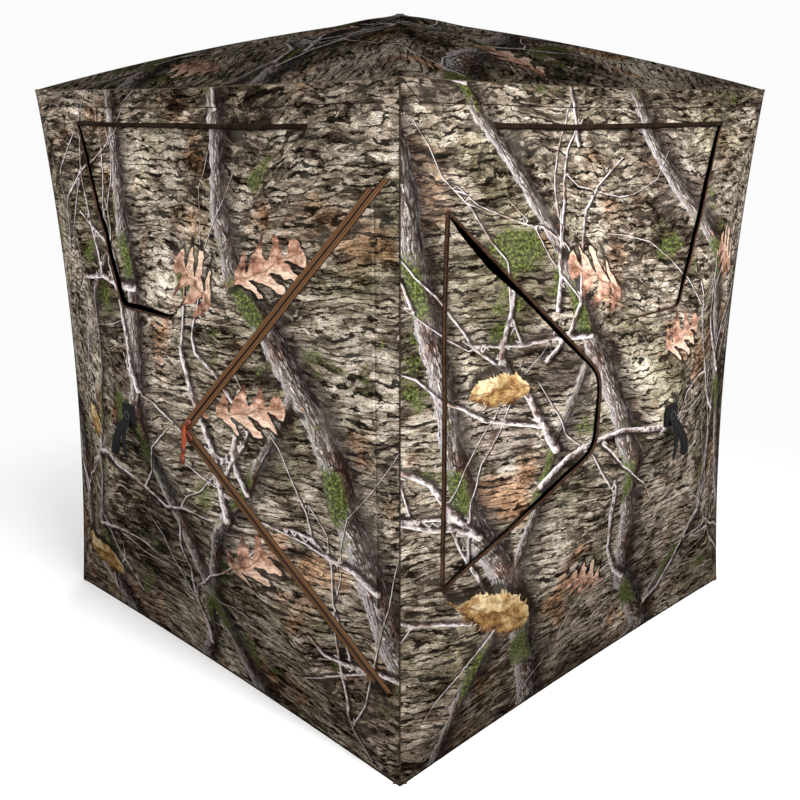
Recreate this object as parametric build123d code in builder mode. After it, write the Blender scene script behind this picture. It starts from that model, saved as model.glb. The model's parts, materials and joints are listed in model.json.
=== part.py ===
from build123d import *
import os
from math import atan2, degrees, hypot

# Pop up ground blind: a cube of five fabric faces, each sprung over a centre hub by four fibreglass poles.
# Millimetres, +Z up. The origin is on the ground at the centre of the footprint, and the door faces -Y.

# Driving dimensions
WIDTH = 1524.0             # corner seam to corner seam, along X and along Y
HEIGHT = 1590.0            # ground to the top seams
HUB_THROW = 200.0          # how far each hub stands out from the flat of its face

# Fabric
FABRIC = 2.0               # thickness of a panel
PANEL_START = 8.0          # first fabric beyond the edge webbing, up the slope of the panel
PANEL_END = 672.0          # last fabric before the hub, up the slope of the panel
PANEL_TRIM = 6.0           # fabric left to the seam allowance beside each pole

# Poles
ROD_RADIUS = 4.75
FITTING_RADIUS = 6.5       # ferrule at the hub end and cap at the corner end
FITTING_GAP = 0.05         # radial play of a rod in its fittings
EYE_RADIUS = 8.0
EYE_THICKNESS = 10.0
EYE_REACH = 24.0           # pin centre to the end of the flat eye
EYE_NECK = 11.2            # width of the eye between its round end and the ferrule
FERRULE_START = 20.0
FERRULE_LENGTH = 40.0
ROD_START = 25.0           # pin centre to the rod's end inside the ferrule
CAP_LENGTH = 34.0
CAP_END = 4.0              # solid end of the cap beyond the rod
CAP_ROUND = 3.9
POLE_DEPTH = 22.0          # pole centre line below the fabric
CORNER_INSET = 50.0        # pole end to each neighbouring edge of the face

# Hubs
HUB_RADIUS = 58.0
HUB_THICKNESS = 24.0
HUB_DEPTH = 10.0           # outer face of the hub below the fabric's peak
HUB_RIM_ROUND = 3.0
PIN_CIRCLE = 42.0          # hub axis to each pole pin
PIN_RADIUS = 2.5
PIN_LENGTH = 27.0
PIN_HOLE_LENGTH = 28.0
SLOT_WIDTH = 12.0
SLOT_START = 32.0
SLOT_RUN_OUT = 4.0         # how far the slots' sketches run past the hub's rim
HUB_BOLT_RADIUS = 4.0
BOLT_HEAD_RADIUS = 12.0
BOLT_HEAD_HEIGHT = 4.0
BOLT_HEAD_GAP = 0.3        # between the head and the strap's tails
BOLT_END = 1.0             # bolt beyond the nut
NUT_RADIUS = 9.0           # nut's centre to its corners
NUT_HEIGHT = 6.5
RUNNING_GAP = 0.05         # radial play of every pin and bolt

# Pull straps
PATCH_SIZE = 64.0
PATCH_ROUND = 8.0
PATCH_LIFT = 1.0
WEBBING = 2.5
STRAP_WIDTH = 25.0
STRAP_START = 15.0         # hub axis to the top of the tails, clear of the bolt head
STRAP_DROP = 98.0          # hub axis to the tails' ends
STRAP_SPLAY = 17.0         # each tail off the vertical, in degrees
STRAP_STAND_OUT = 22.0     # how far the tails' ends stand off the patch

# Door, on the right panel of the front face, in that face's own right and up directions
DOOR_HINGE_X = WIDTH / 2 - 60.0
DOOR_TOP_Y = 578.0
DOOR_BOTTOM_Y = -540.0
DOOR_POINT = (173.0, -10.0)
DOOR_GAP = 6.0
TAPE_WIDTH = 22.0
TAPE_THICKNESS = 1.6
TAPE_CLEARANCE = 0.2
SLIDER_LENGTH = 22.0
SLIDER_WIDTH = 12.0
SLIDER_HEIGHT = 6.0
SLIDER_PARK = 42.0         # slider centre from the door's point, along its leg of the zip
SLIDER_ASIDE = 3.0         # slider's inner side from the door's edge, out over the tape
SLIDER_ROUND = 3.0
PULL_LENGTH = 46.0
PULL_WIDTH = 10.0
PULL_THICKNESS = 1.8
PULL_LAP = 4.0             # how far the pull starts inside the slider

# Windows, in their face's own right and up directions
WINDOW_TOP_Y = HEIGHT / 2 - 88.0
WINDOW_BOTTOM_Y = 252.0
WINDOW_TOP_HALF = 499.0
WINDOW_BOTTOM_HALF = 120.0
SIDE_WINDOW = [(-650.0, 536.0), (-226.0, 136.0), (-226.0, -56.0), (-650.0, -330.0)]
FLAP_DEPTH = 8.0           # gap between a panel's outer face and the flap behind it
FLAP_OVERLAP = 15.0

# Corners and ground
CUP_NEAR = 14.0            # each point of a corner cup sits this far from two faces
CUP_FAR = 40.0             # and this far from the third
CUP_THICKNESS = 3.0
CORD_RADIUS = 4.0
CORD_GAP = 8.0             # left between cords at a corner
HEM_HEIGHT = 5.0
TAB_INSET = 60.0           # stake eyelet to each side of the footprint
TAB_LENGTH = 64.0
TAB_WIDTH = 30.0
TAB_THICKNESS = 2.5
TAB_ROUND = 6.0
EYELET_RADIUS = 6.0

HALF_WIDTH = WIDTH / 2
HALF_HEIGHT = HEIGHT / 2

os.makedirs("parts", exist_ok=True)


def save(builder, name):
    builder.part.label = name
    export_step(builder.part, f"parts/{name}.step")


def wall_face(x_dir, z_dir):
    """A wall is its outward plane, half its width and half its height."""
    centre = Vector(*z_dir) * HALF_WIDTH + Vector(0, 0, HALF_HEIGHT)
    return Plane(centre, x_dir=x_dir, z_dir=z_dir), HALF_WIDTH, HALF_HEIGHT


FACES = {
    "front": wall_face((1, 0, 0), (0, -1, 0)),
    "right": wall_face((0, 1, 0), (1, 0, 0)),
    "back": wall_face((-1, 0, 0), (0, 1, 0)),
    "left": wall_face((0, -1, 0), (-1, 0, 0)),
    "roof": (Plane((0, 0, HEIGHT), x_dir=(1, 0, 0), z_dir=(0, 0, 1)), HALF_WIDTH, HALF_WIDTH),
}
WALLS = ["front", "right", "back", "left"]
CORNERS = {
    "upper_right": (1, 1),
    "upper_left": (-1, 1),
    "lower_left": (-1, -1),
    "lower_right": (1, -1),
}
SIDES = {
    "right": (1, 0),
    "top": (0, 1),
    "left": (-1, 0),
    "bottom": (0, -1),
}


class Panel:
    """One triangular panel of a face: its sloping plane runs from a seam of the cube up to the hub."""

    def __init__(self, face_name, side):
        face, half_x, half_y = FACES[face_name]
        self.side_x, self.side_y = SIDES[side]
        self.reach = abs(self.side_x) * half_x + abs(self.side_y) * half_y
        self.half_edge = abs(self.side_x) * half_y + abs(self.side_y) * half_x
        self.slant = hypot(self.reach, HUB_THROW)
        outwards = face.x_dir * self.side_x + face.y_dir * self.side_y
        slope = face.z_dir * HUB_THROW - outwards * self.reach
        normal = outwards * HUB_THROW + face.z_dir * self.reach
        self.plane = Plane(face.origin + outwards * self.reach, x_dir=slope.cross(normal), z_dir=normal)

    def half_width(self, up):
        """Half the panel's width at a distance up its slope, inside the seams even when it lies flat."""
        return self.half_edge * (1 - up / self.reach) - PANEL_TRIM

    def outline(self):
        low, high = self.half_width(PANEL_START), self.half_width(PANEL_END)
        return [(-low, PANEL_START), (low, PANEL_START), (high, PANEL_END), (-high, PANEL_END)]

    def place(self, points):
        """Points given in the face's right and up directions, as points of the panel's own plane."""
        placed = []
        for x, y in points:
            across = self.side_x * y - self.side_y * x
            outwards = self.side_x * x + self.side_y * y
            placed.append((across, (self.reach - outwards) * self.slant / self.reach))
        return placed


DOOR_PANEL = Panel("front", "right")
DOOR_TOP = (DOOR_HINGE_X, DOOR_TOP_Y)
DOOR_BOTTOM = (DOOR_HINGE_X, DOOR_BOTTOM_Y)
DOOR_OUTLINE = DOOR_PANEL.place([DOOR_TOP, DOOR_POINT, DOOR_BOTTOM])
WINDOW_CORNERS = [
    (-WINDOW_TOP_HALF, WINDOW_TOP_Y),
    (WINDOW_TOP_HALF, WINDOW_TOP_Y),
    (WINDOW_BOTTOM_HALF, WINDOW_BOTTOM_Y),
    (-WINDOW_BOTTOM_HALF, WINDOW_BOTTOM_Y),
]
SIDE_WINDOW_PANEL = Panel("right", "left")
SIDE_WINDOW_OUTLINE = SIDE_WINDOW_PANEL.place(SIDE_WINDOW)

# The opening in each panel that has one
OPENINGS = {
    ("front", "right"): DOOR_OUTLINE,
    ("right", "left"): SIDE_WINDOW_OUTLINE,
}
for wall in WALLS:
    OPENINGS[(wall, "top")] = Panel(wall, "top").place(WINDOW_CORNERS)


def make_panel(face_name, side):
    panel = Panel(face_name, side)
    with BuildPart() as fabric:
        with BuildSketch(panel.plane):
            Polygon(*panel.outline(), align=None)
            if (face_name, side) in OPENINGS:
                Polygon(*OPENINGS[(face_name, side)], align=None, mode=Mode.SUBTRACT)
        extrude(amount=-FABRIC)
    save(fabric, f"{face_name}_panel_{side}")


def make_flap(name, panel, opening):
    """A plain fabric flap that hangs just behind its opening and laps it all round."""
    with BuildPart() as flap:
        with BuildSketch(panel.plane.offset(-FLAP_DEPTH)):
            Polygon(*opening, align=None)
            offset(amount=FLAP_OVERLAP, kind=Kind.INTERSECTION)
        extrude(amount=-FABRIC)
    save(flap, name)


def pole_ends(face_name, corner):
    """The pin centre at the hub and the free end in the corner, as points of the whole blind."""
    face, half_x, half_y = FACES[face_name]
    sign_x, sign_y = CORNERS[corner]
    end_x = sign_x * (half_x - CORNER_INSET)
    end_y = sign_y * (half_y - CORNER_INSET)
    share = PIN_CIRCLE / hypot(end_x, end_y)
    pin = face.from_local_coords(Vector(end_x * share, end_y * share, HUB_THROW - POLE_DEPTH))
    tip = face.from_local_coords(Vector(end_x, end_y, -POLE_DEPTH))
    return pin, tip


def make_pole(face_name, corner):
    """Rod, flat-eyed hub ferrule and corner cap, each its own solid."""
    face = FACES[face_name][0]
    pin, tip = pole_ends(face_name, corner)
    along = tip - pin
    length = along.length
    pin_axis = along.cross(face.z_dir)
    rod_plane = Plane(pin, x_dir=pin_axis, z_dir=along)
    eye_plane = Plane(pin, x_dir=along, z_dir=pin_axis)
    rod_length = length - CAP_END - ROD_START
    with BuildPart() as pole:
        with BuildSketch(eye_plane):
            Circle(EYE_RADIUS)
            with Locations((EYE_REACH / 2, 0)):
                Rectangle(EYE_REACH, EYE_NECK)
            Circle(PIN_RADIUS + RUNNING_GAP, mode=Mode.SUBTRACT)
        extrude(amount=EYE_THICKNESS / 2, both=True)
        with BuildSketch(rod_plane.offset(FERRULE_START)):
            Circle(FITTING_RADIUS)
        extrude(amount=FERRULE_LENGTH)
        with BuildSketch(rod_plane.offset(length - CAP_LENGTH)):
            Circle(FITTING_RADIUS)
        extrude(amount=CAP_LENGTH)
        tip_face = pole.faces().sort_by(Axis(pin, along))[-1]
        fillet(tip_face.edges(), CAP_ROUND)
        with BuildSketch(rod_plane.offset(ROD_START - FITTING_GAP)):
            Circle(ROD_RADIUS + FITTING_GAP)
        extrude(amount=rod_length + 2 * FITTING_GAP, mode=Mode.SUBTRACT)
        with BuildSketch(rod_plane.offset(ROD_START)):
            Circle(ROD_RADIUS)
        extrude(amount=rod_length)
    save(pole, f"{face_name}_pole_{corner}")


def make_hub(face_name):
    """Slotted moulding with its four pole pins, and the bolt and nut that clamp it."""
    face, half_x, half_y = FACES[face_name]
    outer_face = face.offset(HUB_THROW - HUB_DEPTH)
    pin_plane = face.offset(HUB_THROW - POLE_DEPTH)
    slot_length = HUB_RADIUS - SLOT_START + SLOT_RUN_OUT
    spokes = []
    pin_places = []
    for sign_x, sign_y in CORNERS.values():
        angle = degrees(atan2(sign_y * (half_y - CORNER_INSET), sign_x * (half_x - CORNER_INSET)))
        spokes.append(angle)
        spoke = Location(pin_plane) * Location((0, 0, 0), (0, 0, angle))
        pin_places.append(spoke * Location((PIN_CIRCLE, 0, 0)))
    with BuildPart() as hub:
        with BuildSketch(outer_face):
            Circle(HUB_RADIUS)
        extrude(amount=-HUB_THICKNESS)
        fillet(hub.edges().filter_by(GeomType.CIRCLE), HUB_RIM_ROUND)
        with BuildSketch(outer_face):
            for angle in spokes:
                with Locations(Location((0, 0, 0), angle)):
                    with Locations((SLOT_START + slot_length / 2, 0)):
                        Rectangle(slot_length, SLOT_WIDTH)
            Circle(HUB_BOLT_RADIUS + RUNNING_GAP)
        extrude(amount=-HUB_THICKNESS, mode=Mode.SUBTRACT)
        with Locations(*pin_places):
            Cylinder(PIN_RADIUS + RUNNING_GAP, PIN_HOLE_LENGTH, rotation=(90, 0, 0), mode=Mode.SUBTRACT)
            Cylinder(PIN_RADIUS, PIN_LENGTH, rotation=(90, 0, 0))
        with BuildSketch(face.offset(HUB_THROW + PATCH_LIFT + 2 * WEBBING + BOLT_HEAD_GAP)):
            Circle(BOLT_HEAD_RADIUS)
        extrude(amount=BOLT_HEAD_HEIGHT)
        with BuildSketch(outer_face.offset(-HUB_THICKNESS - NUT_HEIGHT - BOLT_END)):
            Circle(HUB_BOLT_RADIUS)
        extrude(until=Until.NEXT)
        with BuildSketch(outer_face.offset(-HUB_THICKNESS - RUNNING_GAP)):
            RegularPolygon(NUT_RADIUS, 6)
            Circle(HUB_BOLT_RADIUS + RUNNING_GAP, mode=Mode.SUBTRACT)
        extrude(amount=-NUT_HEIGHT)
    save(hub, f"{face_name}_hub")


def make_pull_strap(face_name):
    """Webbing patch under the hub's bolt head, and the two tails that pop the hub out."""
    face = FACES[face_name][0]
    patch_outer = HUB_THROW + PATCH_LIFT + WEBBING
    tails_top = face.from_local_coords(Vector(0, -STRAP_START, patch_outer - WEBBING / 2))
    tails_end = face.from_local_coords(Vector(0, -STRAP_DROP, patch_outer + STRAP_STAND_OUT))
    down = tails_end - tails_top
    tail_plane = Plane(tails_top, x_dir=face.x_dir, z_dir=down.cross(face.x_dir))
    with BuildPart() as strap:
        with BuildSketch(face.offset(HUB_THROW + PATCH_LIFT)):
            RectangleRounded(PATCH_SIZE, PATCH_SIZE, PATCH_ROUND)
            Circle(HUB_BOLT_RADIUS + RUNNING_GAP, mode=Mode.SUBTRACT)
        extrude(amount=WEBBING)
        with BuildSketch(tail_plane):
            for splay in (-STRAP_SPLAY, STRAP_SPLAY):
                with Locations(Location((0, 0, 0), splay)):
                    with Locations((0, -down.length / 2)):
                        Rectangle(STRAP_WIDTH, down.length)
        extrude(amount=WEBBING)
    save(strap, f"{face_name}_pull_strap")


def make_door():
    """The zipped door leaf, the zip's tape on the fabric round it, and the two sliders."""
    with BuildPart() as door:
        with BuildSketch(DOOR_PANEL.plane):
            Polygon(*DOOR_OUTLINE, align=None)
            offset(amount=-DOOR_GAP, kind=Kind.INTERSECTION)
        extrude(amount=-FABRIC)
    save(door, "door_flap")

    with BuildPart() as tape:
        with BuildSketch(DOOR_PANEL.plane.offset(TAPE_CLEARANCE)):
            Polygon(*DOOR_OUTLINE, align=None)
            offset(amount=TAPE_WIDTH, kind=Kind.INTERSECTION)
            Polygon(*DOOR_OUTLINE, align=None, mode=Mode.SUBTRACT)
            with Locations((0, DOOR_OUTLINE[0][1] - TAPE_WIDTH)):
                Rectangle(WIDTH, 2 * TAPE_WIDTH, mode=Mode.SUBTRACT)
        extrude(amount=TAPE_THICKNESS)
    save(tape, "door_zip_tape")

    top, point, bottom = [Vector(*p) for p in DOOR_OUTLINE]
    for name, leg_end, outer_side in (("upper", top, 1), ("lower", bottom, -1)):
        leg = (leg_end - point).normalized()
        outwards = Vector(-leg.Y, leg.X) * outer_side
        centre = point + leg * SLIDER_PARK + outwards * (SLIDER_WIDTH / 2 + SLIDER_ASIDE)
        pull_start = centre + leg * (SLIDER_LENGTH / 2 - PULL_LAP)
        slider_plane = DOOR_PANEL.plane.offset(2 * TAPE_CLEARANCE + TAPE_THICKNESS)
        heading = degrees(atan2(leg.Y, leg.X))
        with BuildPart() as slider:
            with BuildSketch(slider_plane):
                with Locations(Location((centre.X, centre.Y, 0), heading)):
                    RectangleRounded(SLIDER_LENGTH, SLIDER_WIDTH, SLIDER_ROUND)
            extrude(amount=SLIDER_HEIGHT)
            with BuildSketch(slider_plane.offset(SLIDER_HEIGHT - PULL_THICKNESS)):
                with Locations(Location((pull_start.X, pull_start.Y, 0), heading)):
                    with Locations((PULL_LENGTH / 2, 0)):
                        RectangleRounded(PULL_LENGTH, PULL_WIDTH, SLIDER_ROUND)
            extrude(amount=PULL_THICKNESS)
        save(slider, f"zip_slider_{name}")


def corner_signs():
    return [(x, y) for x in (-1, 1) for y in (-1, 1)]


def make_corner_cups():
    """The plastic cups for the pole ends, each a plate square to the cube's diagonal."""
    with BuildPart() as cups:
        for x, y in corner_signs():
            for z, up in ((0, 1), (HEIGHT, -1)):
                corner = Vector(x * HALF_WIDTH, y * HALF_WIDTH, z)
                inwards = Vector(-x, -y, up)
                points = []
                for long_axis in range(3):
                    insets = [CUP_FAR if axis == long_axis else CUP_NEAR for axis in range(3)]
                    points.append(corner + Vector(insets[0] * -x, insets[1] * -y, insets[2] * up))
                with BuildSketch(Plane(points[0], x_dir=points[1] - points[0], z_dir=inwards)) as plate:
                    flat = [plate.workplanes[0].to_local_coords(p) for p in points]
                    Polygon(*[(p.X, p.Y) for p in flat], align=None)
                extrude(amount=-CUP_THICKNESS)
    save(cups, "corner_cups")


def make_edge_webbing():
    """Piped cords in the cube's seams, the flat hem on the ground and the stake tabs in its corners."""
    run = WIDTH - 2 * CORD_GAP
    with BuildPart() as webbing:
        with BuildSketch(Plane.XY.offset(CORD_GAP)):
            with GridLocations(WIDTH, WIDTH, 2, 2):
                Circle(CORD_RADIUS)
        extrude(amount=HEIGHT - 2 * CORD_GAP)
        for axis_plane in (Plane.YZ, Plane.XZ):
            with BuildSketch(axis_plane.offset(-run / 2)):
                with Locations((-HALF_WIDTH, HEIGHT), (HALF_WIDTH, HEIGHT)):
                    Circle(CORD_RADIUS)
                with Locations((-HALF_WIDTH, HEM_HEIGHT / 2), (HALF_WIDTH, HEM_HEIGHT / 2)):
                    Rectangle(2 * CORD_RADIUS, HEM_HEIGHT)
            extrude(amount=run)
        with BuildSketch(Plane.XY):
            for x, y in corner_signs():
                eyelet = (x * (HALF_WIDTH - TAB_INSET), y * (HALF_WIDTH - TAB_INSET))
                with Locations(Location((*eyelet, 0), 45 * x * y)):
                    RectangleRounded(TAB_LENGTH, TAB_WIDTH, TAB_ROUND)
                with Locations(eyelet):
                    Circle(EYELET_RADIUS, mode=Mode.SUBTRACT)
        extrude(amount=TAB_THICKNESS)
    save(webbing, "edge_webbing")


for face_name in FACES:
    make_hub(face_name)
    for corner in CORNERS:
        make_pole(face_name, corner)
    for side in SIDES:
        make_panel(face_name, side)

for wall in WALLS:
    make_pull_strap(wall)
    make_flap(f"{wall}_window_flap", Panel(wall, "top"), OPENINGS[(wall, "top")])

make_flap("side_window_flap", SIDE_WINDOW_PANEL, SIDE_WINDOW_OUTLINE)
make_door()
make_corner_cups()
make_edge_webbing()
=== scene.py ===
import json
import math
from collections import namedtuple

import bmesh
import bpy
import numpy as np
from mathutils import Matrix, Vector
from mathutils.geometry import delaunay_2d_cdt


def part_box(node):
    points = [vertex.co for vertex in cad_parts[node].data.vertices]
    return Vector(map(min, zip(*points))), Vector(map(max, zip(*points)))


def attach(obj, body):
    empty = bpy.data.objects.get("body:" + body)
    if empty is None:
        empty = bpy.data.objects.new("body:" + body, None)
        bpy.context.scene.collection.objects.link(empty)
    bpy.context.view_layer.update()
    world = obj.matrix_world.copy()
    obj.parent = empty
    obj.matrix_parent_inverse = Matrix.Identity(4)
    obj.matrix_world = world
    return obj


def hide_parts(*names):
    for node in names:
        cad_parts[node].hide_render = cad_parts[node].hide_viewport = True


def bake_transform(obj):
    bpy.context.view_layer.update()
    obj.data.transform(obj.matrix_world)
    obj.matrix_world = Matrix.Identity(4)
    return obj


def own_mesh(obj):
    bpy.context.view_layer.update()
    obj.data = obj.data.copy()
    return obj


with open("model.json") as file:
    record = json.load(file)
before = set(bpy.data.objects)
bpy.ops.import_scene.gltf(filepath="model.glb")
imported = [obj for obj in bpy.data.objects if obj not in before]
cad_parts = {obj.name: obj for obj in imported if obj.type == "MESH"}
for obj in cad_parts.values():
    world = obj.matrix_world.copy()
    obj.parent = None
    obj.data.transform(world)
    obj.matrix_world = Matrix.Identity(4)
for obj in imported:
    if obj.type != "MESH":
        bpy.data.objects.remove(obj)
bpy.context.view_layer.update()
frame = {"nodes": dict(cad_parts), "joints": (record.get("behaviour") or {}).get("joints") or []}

# ---- Measures, in metres. The cube's size comes from the frame. ----
CORD = 0.004                # the CAD seam cord's radius, which the frame's box includes
webbing_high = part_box("edge_webbing")[1]
HALF = webbing_high.x - CORD
TOP = webbing_high.z - CORD
POP = next(j for j in frame["joints"] if j["name"] == "front_hub_pop")
THROW = -POP["range_m"][0] / 2

SPACING = 0.009    # between the fabric's mesh points
CLOTH = 0.0012              # fabric thickness
CORNER_BOW = 0.029          # how far a vertical seam is drawn in at mid height, in each of its two faces
EAVE_BOW = 0.016            # the same for the seams between the walls and the roof
HEM_BOW = 0.011             # the same for the bottom hems, in plan only
ROOF_CROWN = 0.020          # how far the roof's fabric rises over its bowed poles
BLEND_START = 0.026         # follow() works out a point this far up the panel from its seam
BLEND_END = 0.062           # and another this far up
HUB_RIM = 0.058             # the hub's radius
HUB_SPREAD = 0.150          # fabric nearer the peak than this is carried by the hub
HUB_LIFT = 0.007            # and rises by up to this over it
EAVE_FOLD = 0.047           # height of the doubled band of cloth below the roof seam
EAVE_INSET = 0.001          # how far that band stops short of the seams
EAVE_LIFT = 0.0034          # and stands off the wall
BOLT_HOLE = 0.0145          # half the hole that the hub's bolt passes through, under the patches

X_AXIS = np.array([1.0, 0.0, 0.0])
Y_AXIS = np.array([0.0, 1.0, 0.0])
Z_AXIS = np.array([0.0, 0.0, 1.0])


class Face:
    """One side of the cube: its centre, its right, up and outward directions, and its half sizes."""

    def __init__(self, name, right, up, out, seed):
        self.name, self.seed = name, seed
        self.right, self.up, self.out = right, up, out
        is_roof = name == "roof"
        self.half_x, self.half_y = HALF, HALF if is_roof else TOP / 2
        self.centre = out * (TOP / 2 if is_roof else HALF) + Z_AXIS * TOP / 2


FACES = {
    "front": Face("front", X_AXIS, Z_AXIS, -Y_AXIS, 11),
    "right": Face("right", Y_AXIS, Z_AXIS, X_AXIS, 21),
    "back": Face("back", -X_AXIS, Z_AXIS, Y_AXIS, 37),
    "left": Face("left", -Y_AXIS, Z_AXIS, -X_AXIS, 41),
    "roof": Face("roof", X_AXIS, Y_AXIS, Z_AXIS, 59),
}
WALLS = ("front", "right", "back", "left")
SIDES = {"right": (1, 0), "top": (0, 1), "left": (-1, 0), "bottom": (0, -1)}


class Panel:
    """A triangular panel of a face. Its points are (across, up): along its seam and up its slope."""

    def __init__(self, face, side):
        self.face, self.side = face, side
        self.name = f"{face.name}_panel_{side}"
        self.side_x, self.side_y = SIDES[side]
        self.reach = face.half_x if self.side_x else face.half_y
        self.half_edge = face.half_y if self.side_x else face.half_x
        self.slant = math.hypot(self.reach, THROW)
        outwards = face.right * self.side_x + face.up * self.side_y
        self.inwards = -outwards
        self.origin = face.centre + outwards * self.reach
        self.slope = (face.out * THROW - outwards * self.reach) / self.slant
        self.normal = (outwards * THROW + face.out * self.reach) / self.slant
        self.across = np.cross(self.slope, self.normal)

    def to_face(self, points):
        """(across, up) points as the face's own (right, up) coordinates."""
        outwards = self.reach - points[:, 1] * self.reach / self.slant
        x = self.side_x * outwards - self.side_y * points[:, 0]
        y = self.side_y * outwards + self.side_x * points[:, 0]
        return np.stack([x, y], 1)

    def from_face(self, points):
        across = self.side_x * points[:, 1] - self.side_y * points[:, 0]
        outwards = self.side_x * points[:, 0] + self.side_y * points[:, 1]
        return np.stack([across, (self.reach - outwards) * self.slant / self.reach], 1)

    def seam_bow(self):
        """How far the middle of this panel's seam is drawn in, across the face and into the blind."""
        if self.face.name == "roof":
            return EAVE_BOW, EAVE_BOW * 0.5
        if self.side == "top":
            return EAVE_BOW * 0.5, EAVE_BOW
        if self.side == "bottom":
            return 0.0, HEM_BOW
        return CORNER_BOW, CORNER_BOW

    def place(self, points, lift=0.0):
        """World positions of (across, up) points on the taut fabric, lifted off it along its normal."""
        points = np.asarray(points, float)
        share = np.clip(points[:, 1] / self.slant, 0, 1)
        half_width = np.maximum(self.half_edge * (1 - share), 1e-6)
        along = np.clip(points[:, 0] / half_width, -1, 1)
        fullness = (1 - along**2) * (1 - share) ** 2.5
        towards_centre, into_blind = self.seam_bow()
        world = self.origin + points[:, :1] * self.across + points[:, 1:] * self.slope
        world = world + (fullness * towards_centre)[:, None] * self.inwards
        outwards = -fullness * into_blind
        if self.face.name == "roof":
            outwards = outwards + ROOF_CROWN * share * (1 - share) * 4
        over_hub = np.clip((points[:, 1] - self.slant + HUB_SPREAD) / (HUB_SPREAD - HUB_RIM), 0, 1)
        outwards = outwards + HUB_LIFT * over_hub * over_hub * (3 - 2 * over_hub)
        off_panel = lift + self.relief(points, share, along)
        return world + outwards[:, None] * self.face.out + off_panel[:, None] * self.normal

    def relief(self, points, share, along):
        """The fabric's rise and fall off its flat panel. It dies out at the seams, where panels meet."""
        flat = self.to_face(points)
        slack = (1 - along**2) * np.clip(share * 6, 0, 1) * (1 - share)
        broad = 0.010 * wobble(flat * 4.0, self.face.seed) - 0.006
        fine = 0.0016 * wobble(flat * 15.0, self.face.seed + 1)
        taut = np.zeros(len(points))
        for end in (-1, 1):
            aside = np.abs(points[:, 0] - end * self.half_edge)
            away = np.hypot(aside, points[:, 1])
            angle = np.arctan2(points[:, 1], aside + 1e-6)
            pleats = np.sin(angle * 26 + self.face.seed + end) + 0.6 * np.sin(angle * 43 + self.side_x)
            taut += pleats * np.exp(-away / 0.20) * np.clip(away / 0.06, 0, 1)
        from_hub = self.slant - points[:, 1]
        gathers = np.sin(along * 9 + self.face.seed) * np.exp(-((from_hub - 0.15) / 0.09) ** 2)
        tight = (1 - along**4) * np.clip(share * 10, 0, 1)
        return slack * broad + tight * (fine + 0.0026 * taut + 0.0014 * gathers)


def wobble(points, seed):
    """Smooth noise of about -1 to 1 over 2-D points, the same each time for a seed."""
    rng = np.random.default_rng(seed)
    total = np.zeros(len(points))
    for _ in range(5):
        angle = rng.uniform(0, 2 * math.pi)
        frequency = rng.uniform(0.6, 1.7)
        phase, bend = rng.uniform(0, 2 * math.pi, 2)
        direction = points @ np.array([math.cos(angle), math.sin(angle)])
        sideways = points @ np.array([-math.sin(angle), math.cos(angle)])
        total += np.sin(direction * frequency * 2 + phase + 1.3 * np.sin(sideways * frequency + bend))
    return total / 3.2


# ---- The woodland print. It is laid out once per face and stored on the fabric's mesh points, so that the
# ---- shader can draw crisp trunks, twigs and leaves from a few smooth numbers per point.
FAR = 9.0                   # stands for "nowhere near", in metres or in half widths
TRUNK_WIDTHS = (0.046, 0.020, 0.038, 0.024, 0.050)
TRUNK_STEP, TWIG_STEP = 0.11, 0.075
LOOSE_TWIGS = 5             # twigs that grow from no trunk
LEAF_KINDS = (1, 0, 1, 1, 0, 1)     # 0 is oval and 1 is lobed

Stroke = namedtuple("Stroke", "points widths")  # a trunk or a twig: straight pieces with half widths


def wander(rng, start, heading, step, count, width, kink, taper, steady):
    """A stroke that starts somewhere and wanders off, kinking at each step but drawn to its heading."""
    rng.random()            # a draw that nothing uses: the layouts were chosen with it in place
    points, widths = [np.array(start)], [width]
    current = heading
    for index in range(count):
        current = heading * steady + current * (1 - steady) + rng.normal(0, kink)
        length = step * rng.uniform(0.7, 1.3)
        points.append(points[-1] + length * np.array([math.sin(current), math.cos(current)]))
        widths.append(width * (1 - taper * (index + 1) / count))
    return Stroke(points, widths)


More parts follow.
